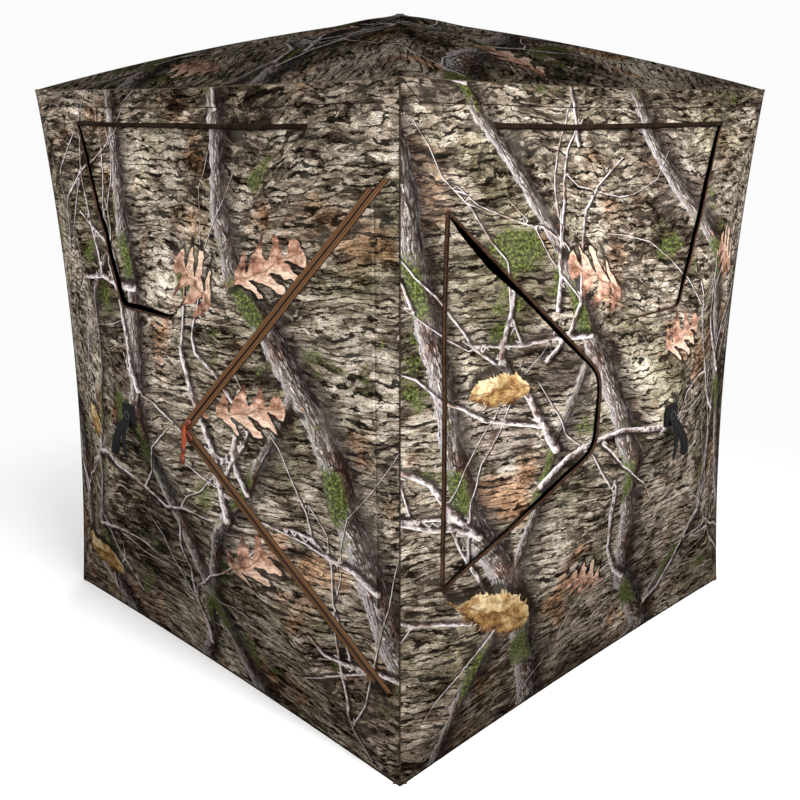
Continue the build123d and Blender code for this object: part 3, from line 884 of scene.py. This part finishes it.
def ribbon(name, centres, sides, width, thickness, material):
    """A webbing ribbon through world points, with its width along the side vectors and its ends closed."""
    ahead = unit(np.gradient(centres, axis=0))
    sides = unit(sides - (sides * ahead).sum(1)[:, None] * ahead)
    facing = np.cross(ahead, sides)
    widths = np.broadcast_to(width, len(centres))[:, None] / 2
    half = [(-1, 0), (-0.94, 0.5), (0, 0.56), (0.94, 0.5)]
    section = half + [(-a, -b) for a, b in half]
    rows = [centres + sides * widths * a + facing * thickness * b for a, b in section]
    shares = (0.0, 0.03, 0.5, 0.97, 1.0, 0.97, 0.5, 0.03)
    piece = strip_mesh(name, np.stack(rows, 1), distance_along(centres), shares, material, closed=True)
    close_ends(piece, len(section))
    return piece


CORNER_POINTS = 7           # the points along each rounded corner, an odd number


def rounded(outline, radii):
    """An outline with its corners rounded, each by its own radius."""
    points = []
    for index, radius in enumerate(radii):
        corner, before, after = outline[index], outline[index - 1], outline[(index + 1) % len(outline)]
        to_before = (before - corner) / np.linalg.norm(before - corner)
        to_after = (after - corner) / np.linalg.norm(after - corner)
        start, end = corner + to_before * radius, corner + to_after * radius
        for t in np.linspace(0, 1, CORNER_POINTS):
            points.append(start * (1 - t) ** 2 + corner * 2 * t * (1 - t) + end * t**2)
    return np.array(points)


def edge_run(outline, first, last, extra=0):
    """A rounded outline from the middle of one corner to that of another, with extra points at the ends."""
    start, end = (corner * CORNER_POINTS + CORNER_POINTS // 2 for corner in (first, last))
    return np.array([outline[k % len(outline)] for k in range(start - extra, end + extra + 1)])


# Openings, in their face's own right and up directions
DOOR_HINGE = HALF - 0.060
DOOR = np.array([(DOOR_HINGE, 0.578), (0.173, -0.010), (DOOR_HINGE, -0.540)])
ZIP_PATH = np.array([(HALF - 0.034, 0.6096), (0.173, -0.010), (HALF - 0.032, -0.568)])
WINDOW = np.array([(-0.499, TOP / 2 - 0.088), (0.499, TOP / 2 - 0.088), (0.120, 0.252), (-0.120, 0.252)])
SIDE_WINDOW = np.array([(-0.650, 0.536), (-0.226, 0.136), (-0.226, -0.056), (-0.650, -0.330)])
WINDOW_ROUNDS = (0.006, 0.006, 0.026, 0.026)
SIDE_WINDOW_ROUNDS = (0.010, 0.048, 0.048, 0.012)

DOOR_PANEL = Panel(FACES["front"], "right")
SIDE_PANEL = Panel(FACES["right"], "left")
DOOR_OPENING = DOOR_PANEL.from_face(DOOR)
SIDE_OPENING = rounded(SIDE_PANEL.from_face(SIDE_WINDOW), SIDE_WINDOW_ROUNDS)
WINDOW_OPENING = rounded(Panel(FACES["front"], "top").from_face(WINDOW), WINDOW_ROUNDS)
HOLES = {"front_panel_right": DOOR_OPENING, "right_panel_left": SIDE_OPENING}
for wall in WALLS:
    HOLES[f"{wall}_panel_top"] = WINDOW_OPENING


def make_panels():
    """The cube's skin: four triangular panels on each face, and a doubled band below the roof seam."""
    for face in FACES.values():
        for side in SIDES:
            panel = Panel(face, side)
            tip = panel.slant * (1 - BOLT_HOLE / panel.reach)
            tip_half = panel.half_edge * BOLT_HOLE / panel.reach
            outline = [(-panel.half_edge, 0), (panel.half_edge, 0), (tip_half, tip), (-tip_half, tip)]
            holes = [HOLES[panel.name]] if panel.name in HOLES else []
            material = ROOF_PRINT_IN_PAINTED_SHADE if face.name == "roof" else WALL_PRINT
            piece = cloth_piece(f"{panel.name}_cloth", panel, outline, holes, material)
            follow(piece, panel)
            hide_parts(panel.name)
            if side == "top" and face.name != "roof":
                make_eave(panel)


def make_eave(panel):
    """The doubled band below a wall's roof seam, and the stitched line along its lower edge."""
    wall = panel.face.name
    end = panel.half_edge * (1 - EAVE_FOLD / panel.slant) - EAVE_INSET
    corner = panel.half_edge - EAVE_INSET
    outline = np.array([(-corner, EAVE_INSET), (corner, EAVE_INSET), (end, EAVE_FOLD), (-end, EAVE_FOLD)])
    follow(cloth_piece(f"{wall}_eave_fold", panel, outline, [], WALL_PRINT, EAVE_LIFT), panel)
    follow(strip(f"{wall}_eave_stitch", panel, outline[:1:-1], EAVE_STITCH), panel)


def inset(outline, gaps):
    """An outline with every point drawn inwards by its own gap."""
    ahead = unit(np.roll(outline, -1, axis=0) - np.roll(outline, 1, axis=0))
    area = np.sum(outline[:, 0] * np.roll(outline[:, 1], -1) - np.roll(outline[:, 0], -1) * outline[:, 1])
    inwards = np.stack([-ahead[:, 1], ahead[:, 0]], 1) * math.copysign(1, area)
    return outline + inwards * gaps[:, None]


def gap_along(outline, stops):
    """The gap at each point of an outline, read off between stops at shares of the way round it."""
    steps = np.linalg.norm(np.roll(outline, -1, axis=0) - outline, axis=1)
    shares = np.concatenate([[0], np.cumsum(steps)[:-1]]) / steps.sum()
    places, values = zip(*stops)
    return np.interp(shares, places, values)


# The gap round each flap, as (share of the way round its opening, gap). A shut edge laps under the panel.
SHUT = -0.003
WINDOW_GAPS = (
    (0.0, 0.002), (0.03, SHUT), (0.40, SHUT), (0.56, 0.001), (0.72, 0.015), (0.92, 0.005), (1.0, 0.002),
)
RIGHT_WINDOW_GAPS = (
    (0.0, 0.001), (0.34, 0.001), (0.46, 0.010), (0.58, 0.011), (0.66, 0.004), (0.75, SHUT), (1.0, SHUT),
)
SIDE_WINDOW_GAPS = (
    (0.0, 0.002), (0.03, 0.014), (0.08, 0.021), (0.14, 0.011), (0.20, 0.011), (0.28, 0.007), (0.35, 0.009),
    (0.45, 0.008), (0.52, 0.005), (0.60, 0.006), (0.68, 0.010), (0.73, SHUT), (1.0, 0.0),
)
FLAP_BACK = 0.0035          # how far a flap's edge lies behind its opening
WINDOW_SAG, WINDOW_CREASES = 0.010, 0.0012
SIDE_WINDOW_SAG, SIDE_WINDOW_CREASES = 0.022, 0.0070
HOOK_PATH = np.array([(0, -0.003), (0.0016, 0.018), (0.016, 0.021)])   # round the end of a top window's zip
HEM_LINE_LIFT, HEM_LINE_CORD = 0.0042, 0.0013


def make_flap(which, panel, opening, gaps, sag, creases):
    """A window flap behind its opening: close to the hinge edge, and sagging away from its free edges."""
    name = f"{which}_window_cloth"
    outline = refine(opening, 0.02)
    outline = inset(outline, gap_along(outline, gaps))

    def hang(points):
        away = np.clip(edge_distance(points, outline) / 0.14, 0, 1)
        belly = away * away * (3 - 2 * away)
        folds = wobble(points * np.array([9.0, 4.0]), len(name))
        fine_folds = wobble(points @ np.array([[22.0, -11.0], [9.0, 5.0]]), len(name) + 1)
        hollow = sag * belly * (0.8 + 0.6 * folds) + creases * belly * (1 + fine_folds)
        return -FLAP_BACK - hollow - 0.0020 * (1 + folds)

    piece = cloth_piece(name, panel, outline, [], WALL_PRINT, hang)
    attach(piece, f"{which}_window_flap")
    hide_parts(f"{which}_window_flap")


def make_windows():
    """Each wall's top window and the side window: a flap behind the opening, and bindings at its edge."""
    for wall in WALLS:
        # The outline starts at the top left corner, seen from outside, and goes along the top edge first.
        # The right wall's window hangs open on its other side, as the photo's two windows do.
        panel = Panel(FACES[wall], "top")
        mirrored = wall == "right"
        gaps = RIGHT_WINDOW_GAPS if mirrored else WINDOW_GAPS
        make_flap(wall, panel, WINDOW_OPENING, gaps, WINDOW_SAG, WINDOW_CREASES)
        top = edge_run(WINDOW_OPENING, 0, 1)
        follow(strip(f"{wall}_window_top_tape", panel, top, WINDOW_TOP_TAPE), panel)
        corner = top[0] if mirrored else top[-1]
        hook = corner + HOOK_PATH * (-math.copysign(1, corner[0]), 1)
        follow(strip(f"{wall}_window_hook", panel, hook, WINDOW_HOOK), panel)
        rim = edge_run(WINDOW_OPENING, 1, 3) if mirrored else edge_run(WINDOW_OPENING, 2, 4)
        follow(strip(f"{wall}_window_rim", panel, rim, WINDOW_RIM), panel)
    make_flap("side", SIDE_PANEL, SIDE_OPENING, SIDE_WINDOW_GAPS, SIDE_WINDOW_SAG, SIDE_WINDOW_CREASES)
    follow(strip("side_window_rim", SIDE_PANEL, edge_run(SIDE_OPENING, 0, 3), SIDE_WINDOW_RIM), SIDE_PANEL)
    hinge = edge_run(SIDE_OPENING, 3, 4, extra=1)
    follow(strip("side_window_hem", SIDE_PANEL, hinge, SIDE_WINDOW_HEM), SIDE_PANEL)
    hem_line = SIDE_PANEL.place(refine(hinge, SPACING, closed=False), HEM_LINE_LIFT)
    follow(cord("side_window_hem_line", hem_line, HEM_LINE_CORD, DARK_BINDING), SIDE_PANEL)


SLIDER_LENGTH, SLIDER_WIDTH, SLIDER_HEIGHT = 0.017, 0.0075, 0.0075
SLIDER_PLACE = 0.020        # how far a slider sits up its leg of the zip
SLIDER_LIFT = 0.0055        # its middle, off the cloth
SLIDER_RINGS, SLIDER_SIDES = 9, 14
PULL_LIFT = 0.0105          # where its pull starts, off the cloth
PULL_DROP, PULL_BOW = 0.066, 0.010
PULL_NECK, PULL_WIDTH, PULL_THICKNESS = 0.006, 0.013, 0.0026
KNOB_WIDTH, KNOB_THICKNESS = 0.0165, 0.0050


def make_slider(name, leg_end, lean):
    """A zip slider at the door's point, and its webbing pull, which hangs down and leans a little aside."""
    point = DOOR_OPENING[1]
    leg = (leg_end - point) / np.linalg.norm(leg_end - point)
    aside = np.array([-leg[1], leg[0]])
    centre = point + leg * SLIDER_PLACE
    rows = []
    for along in np.linspace(-1, 1, SLIDER_RINGS):
        swell = 1 - 0.28 * max(along, 0) ** 2 - 0.55 * max(abs(along) - 0.8, 0) / 0.2
        ring = []
        for turn in np.linspace(0, 2 * math.pi, SLIDER_SIDES, endpoint=False):
            x = math.copysign(abs(math.cos(turn)) ** 0.5, math.cos(turn)) * SLIDER_WIDTH * swell
            z = math.copysign(abs(math.sin(turn)) ** 0.6, math.sin(turn)) * SLIDER_HEIGHT * 0.5 * swell
            flat = centre + leg * along * SLIDER_LENGTH + aside * x
            ring.append(DOOR_PANEL.place(flat[None], SLIDER_LIFT + z)[0])
        rows.append(ring)
    run, shares = np.linspace(0, 0.03, SLIDER_RINGS), np.linspace(0, 1, SLIDER_SIDES)
    body = strip_mesh(f"{name}_casting", np.array(rows), run, shares, ZIP_METAL, closed=True)
    close_ends(body, SLIDER_SIDES)
    face = DOOR_PANEL.face
    start = DOOR_PANEL.place(centre[None], PULL_LIFT)[0]
    hang = np.linspace(0, 1, 14)
    off_wall = 0.004 + PULL_BOW * np.sin(hang * math.pi * 0.5)
    drop = start - np.outer(hang * PULL_DROP, Z_AXIS) + np.outer(off_wall, face.out)
    drop = drop + np.outer(lean * hang, face.right)
    sides = np.tile(face.right, (len(hang), 1))
    widths = PULL_NECK + (PULL_WIDTH - PULL_NECK) * np.clip(hang * 5, 0, 1)
    pull = ribbon(f"{name}_pull", drop, sides, widths, PULL_THICKNESS, PULL_CORD)
    knob = ribbon(f"{name}_pull_end", drop[-4:], sides[-4:], KNOB_WIDTH, KNOB_THICKNESS, ZIP_METAL)
    for piece in (body, pull, knob):
        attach(piece, name)
    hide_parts(name)


DOOR_BEND = (0.001, 0.024)  # two distances past the door's hinge edge, up its panel


def make_door():
    """The door leaf in its panel's opening, and the zip along the two edges away from its hinge."""
    hinge = DOOR_OPENING[0, 1]
    bend = [DOOR_PANEL.origin + DOOR_PANEL.slope * (hinge + past) for past in DOOR_BEND]
    outline = refine(DOOR_OPENING, SPACING)
    outline = inset(outline, np.full(len(outline), CLOTH / 2))
    leaf = cloth_piece("door_cloth", DOOR_PANEL, outline, [], WALL_PRINT)
    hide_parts("door_flap")
    path = DOOR_PANEL.from_face(ZIP_PATH)
    outer = strip("zip_tape_outer", DOOR_PANEL, path, OUTER_TAPE)
    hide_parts("door_zip_tape")
    inner = strip("zip_tape_inner", DOOR_PANEL, DOOR_OPENING, INNER_TAPE)
    for piece in (outer, strip("zip_coil_outer", DOOR_PANEL, path, OUTER_COIL)):
        follow(piece, DOOR_PANEL)
    for piece in (leaf, inner, strip("zip_coil_inner", DOOR_PANEL, DOOR_OPENING, INNER_COIL)):
        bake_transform(piece)
    make_slider("zip_slider_upper", DOOR_OPENING[0], 0.004)
    make_slider("zip_slider_lower", DOOR_OPENING[2], -0.005)


def seam_line(panel, count=90):
    """Evenly spaced (across, up) points along a panel's seam."""
    return np.stack([np.linspace(-panel.half_edge, panel.half_edge, count), np.zeros(count)], 1)


TAB_LENGTH, TAB_WIDTH, TAB_THICKNESS, TAB_HEIGHT = 0.105, 0.034, 0.0024, 0.0028
TAB_INSET = 0.004           # how far inside the cube's corner a stake tab starts
EYELET_PLACE = 0.702        # an eyelet's x and y
EYELET_HEIGHT, EYELET_RADIUS, EYELET_WIRE = 0.0046, 0.0088, 0.0026
CORNER_CORD, EAVE_CORD, HEM_CORD = 0.0016, 0.0022, 0.0030
HEM_RISE = 0.0026           # keeps the rolled hem off the ground
HEM_TAPE_SHARE = 0.985      # of the hem's length


def make_seams():
    """Piping in the corners and under the eaves, a rolled hem, and a hem tape."""
    for wall in WALLS:
        side, top, bottom = (Panel(FACES[wall], name) for name in ("right", "top", "bottom"))
        hem_line = bottom.place(seam_line(bottom)) + Z_AXIS * HEM_RISE
        tape_line = seam_line(bottom) * HEM_TAPE_SHARE + np.array([0, 0.001])
        pieces = (
            cord(f"{wall}_corner_piping", side.place(seam_line(side)), CORNER_CORD, CORNER_BINDING),
            cord(f"{wall}_eave_piping", top.place(seam_line(top)), EAVE_CORD, EAVE_BINDING),
            cord(f"{wall}_rolled_hem", hem_line, HEM_CORD, DARK_BINDING),
            strip(f"{wall}_hem_tape", bottom, tape_line, HEM_TAPE),
        )
        for piece in pieces:
            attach(piece, "body")
        if wall == WALLS[0]:
            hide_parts("edge_webbing")


def make_stake_tabs():
    """A webbing tab with a brass eyelet in each bottom corner."""
    for number, (x, y) in enumerate(((1, -1), (1, 1), (-1, 1), (-1, -1))):
        corner = np.array([x * (HALF - TAB_INSET), y * (HALF - TAB_INSET), TAB_HEIGHT])
        inwards = np.array([-x, -y, 0]) / math.sqrt(2)
        reach = np.linspace(0, TAB_LENGTH, 12)
        across = np.tile(np.array([-y, x, 0]) / math.sqrt(2), (len(reach), 1))
        line = corner + np.outer(reach, inwards)
        tab = ribbon(f"stake_tab_{number}", line, across, TAB_WIDTH, TAB_THICKNESS, HEM_WEBBING)
        centre = np.array([x * EYELET_PLACE, y * EYELET_PLACE, EYELET_HEIGHT])
        turns = np.linspace(0, 2 * math.pi, 33)
        ring = centre + EYELET_RADIUS * np.stack([np.cos(turns), np.sin(turns), 0 * turns], 1)
        eyelet = cord(f"stake_eyelet_{number}", ring, EYELET_WIRE, BRASS)
        for piece in (tab, eyelet):
            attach(piece, "body")


def drape_height(face, flat):
    """Height of the taut fabric over a face at (right, up) points near its peak."""
    share = np.maximum(np.abs(flat[:, 0]) / face.half_x, np.abs(flat[:, 1]) / face.half_y)
    return THROW * (1 - share) + HUB_LIFT


PATCH_CELLS = 24
PATCH_THICKNESS = 0.0022
PULL_PATCH, PULL_PATCH_LIFT = 0.060, 0.0048
ROOF_CAP, ROOF_CAP_LIFT, ROOF_CAP_CROWN = 0.110, 0.0024, 0.0022


def make_hub_patch(name, face, size, lift, crown, material, fold_from):
    """A square patch over the hub, draped on the peak's four slopes. It rides on the hub."""
    steps = np.linspace(-1, 1, PATCH_CELLS + 1)
    gx, gy = np.meshgrid(steps, steps)
    # The grid is eased into a square with round corners.
    ease = 1 - 0.14 * (gx**2 * gy**2) ** 2
    flat = np.stack([gx.ravel(), gy.ravel()], 1) * ease.ravel()[:, None] * size / 2
    radius = np.linalg.norm(flat, axis=1)
    taut = drape_height(face, flat)
    soft = taut * 0.5 + (THROW + HUB_LIFT - 0.16 * radius) * 0.5
    height = np.maximum(soft, taut) + lift + crown * np.exp(-((radius / 0.016) ** 2))
    rim = np.maximum(np.abs(gx), np.abs(gy)).ravel()
    height = height - 0.0024 * np.clip((rim - 0.88) / 0.12, 0, 1) ** 2
    world = face.centre + flat[:, :1] * face.right + flat[:, 1:] * face.up + height[:, None] * face.out
    cells = [i + j * len(steps) for j in range(PATCH_CELLS) for i in range(PATCH_CELLS)]
    quads = [(k, k + 1, k + 1 + len(steps), k + len(steps)) for k in cells]
    piece = new_object(name, world, quads, material)
    lay_uv(piece, "strip", np.stack([flat[:, 0] + size / 2, flat[:, 1] / size + 0.5], 1))
    thicken(piece, PATCH_THICKNESS)
    ride_hub(piece, face, fold_from)
    return piece


def ride_hub(piece, face, fold_from):
    """The piece rides on its face's hub and takes a mesh of its own."""
    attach(piece, f"{face.name}_hub")
    anchor = face.centre + face.out * (THROW + fold_from)
    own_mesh(piece)


TAIL_SPLAY = 0.30           # how far each tail of a pull strap turns from hanging straight down
TAIL_WIDTH, TAIL_THICKNESS, TAIL_LENGTH = 0.026, 0.0024, 0.094
TAIL_START = 0.012          # below the hub's middle
TAIL_LIFT, TAIL_BOW = 0.012, 0.024
TAIL_TWIST = 0.35           # how far the tail's width turns outwards towards its end
TAIL_FOLD, CAP_FOLD = 0.030, 0.034


def make_pull_straps():
    """On each wall hub a webbing patch and two tails to pull it by; on the roof a cloth patch."""
    t = np.linspace(0, 1, 18)
    for wall in WALLS:
        face = FACES[wall]
        patch = make_hub_patch(
            f"{wall}_pull_patch", face, PULL_PATCH, PULL_PATCH_LIFT, 0.0, BLACK_WEBBING, TAIL_FOLD
        )
        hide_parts(f"{wall}_pull_strap")
        for name, sign in (("left", -1), ("right", 1)):
            splay = sign * TAIL_SPLAY
            down = TAIL_START + TAIL_LENGTH * t
            aside = math.tan(splay) * down * (1 - 0.15 * t)
            # The tail leaves the patch, bows out and hangs clear of the slope below it.
            height = THROW + TAIL_LIFT + TAIL_BOW * np.sin(np.clip(t * 1.5, 0, 1) * math.pi / 2) - 0.002 * t
            height[:2] -= (0.006, 0.002)    # tucks its top under the patch
            centres = face.centre + np.outer(aside, face.right) - np.outer(down, face.up)
            centres = centres + np.outer(height, face.out)
            sides = math.cos(splay) * face.right + math.sin(splay) * face.up
            sides = sides + np.outer(sign * TAIL_TWIST * t, face.out)
            widths = TAIL_WIDTH * np.sqrt(1 - np.clip((t - 0.86) / 0.14, 0, 0.97) ** 2)
            tail = ribbon(f"{wall}_pull_tail_{name}", centres, sides, widths, TAIL_THICKNESS, BLACK_WEBBING)
            ride_hub(tail, face, TAIL_FOLD)
    make_hub_patch(
        "roof_peak_patch", FACES["roof"], ROOF_CAP, ROOF_CAP_LIFT, ROOF_CAP_CROWN, ROOF_PATCH, CAP_FOLD
    )


def dress_frame():
    """The CAD's hubs, poles, corner cups and sliders take their materials."""
    dressings = {"hub": HUB_PLASTIC, "pole": POLE, "cups": CUP_PLASTIC, "slider": ZIP_METAL}
    for part, material in dressings.items():
        for name, node in frame["nodes"].items():
            if part in name:
                node.data.materials.clear()
                node.data.materials.append(material)


# ---- Stage ----
AMBIENT = (0.28, 0.42)      # from the back left and from the front right
BRIGHT_SIDE = (0.6, -0.6, 0.5)
AIM = Vector((0, 0, 1.2))
LIGHTS = (                  # name, place, power in watts, size
    ("key", (4.2, -1.1, 3.3), 455.0, 2.4),
    ("fill", (-0.8, -5.0, 2.6), 215.0, 2.8),
    ("back", (-4.2, 4.0, 2.4), 170.0, 3.0),
)
FLOOR = 6.0                 # half the floor's side, and the floor fades out well inside it
FLOOR_FADE = (1.2, 2.5)


def make_floor():
    """A pale floor that fades into the backdrop. Light that bounces off it is kept weak."""
    s = new_shader("pale_floor")
    pale = s.mix(s.noise(s.place(), 3.0), (0.88,) * 3, (0.93,) * 3)
    pale = s.mix(s.wire("LightPath", "Is Camera Ray"), (0.12, 0.12, 0.11), pale)
    away = s.vector_math("LENGTH", s.place(), output="Value")
    surface = s.wire("BsdfDiffuse", Color=pale)
    clear = s.wire("BsdfTransparent")
    faded = s.wire("MixShader", inputs=(s.step(away, *FLOOR_FADE), surface, clear))
    s.node("OutputMaterial", Surface=faded)
    corners = [(-FLOOR, -FLOOR, 0), (FLOOR, -FLOOR, 0), (FLOOR, FLOOR, 0), (-FLOOR, FLOOR, 0)]
    new_object("floor", corners, [(0, 1, 2, 3)], s.owner)


def make_lights():
    """A plain pale backdrop, and soft light that is strongest on the right wall."""
    world = bpy.data.worlds.new("studio")
    bpy.context.scene.world = world
    s = Shader(world)
    way = s.wire("TexCoord", "Generated")
    turn = s.vector_math("DOT_PRODUCT", way, BRIGHT_SIDE, output="Value")
    level = s.wire("MapRange", inputs=(turn, -0.5, 0.5, *AMBIENT))
    ambient = s.wire("Background", Color=(1.0, 0.985, 0.96), Strength=level)
    backdrop = s.wire("Background", Color=(0.97, 0.97, 0.97))
    seen = s.wire("LightPath", "Is Camera Ray")
    s.node("OutputWorld", Surface=s.wire("MixShader", inputs=(seen, ambient, backdrop)))
    for name, place, power, size in LIGHTS:
        light = bpy.data.lights.new(name, "AREA")
        light.energy, light.size = power, size
        lamp = bpy.data.objects.new(name, light)
        bpy.context.scene.collection.objects.link(lamp)
        lamp.location = place
        lamp.rotation_euler = (AIM - Vector(place)).to_track_quat("-Z", "Y").to_euler()


CAMERA_ANGLE = 44.3         # degrees
CAMERA_DISTANCE = 1.970     # from the near corner, level with the ground
CAMERA_HEIGHT = 1.523
CAMERA_TILT = 16.25         # degrees below level


def make_camera():
    """The camera stands off the near corner, a little below the eaves, and looks slightly down."""
    data = bpy.data.cameras.new("camera")
    data.angle = math.radians(CAMERA_ANGLE)
    camera = bpy.data.objects.new("camera", data)
    bpy.context.scene.collection.objects.link(camera)
    stand_off = HALF + CAMERA_DISTANCE * math.sqrt(0.5)
    camera.location = (stand_off, -stand_off, CAMERA_HEIGHT)
    camera.rotation_euler = (math.radians(90 - CAMERA_TILT), 0, math.radians(45))
    bpy.context.scene.camera = camera


make_panels()
make_windows()
make_door()
make_seams()
make_stake_tabs()
make_pull_straps()
dress_frame()
make_floor()
make_lights()
make_camera()
bpy.context.scene.view_settings.view_transform = "Standard"
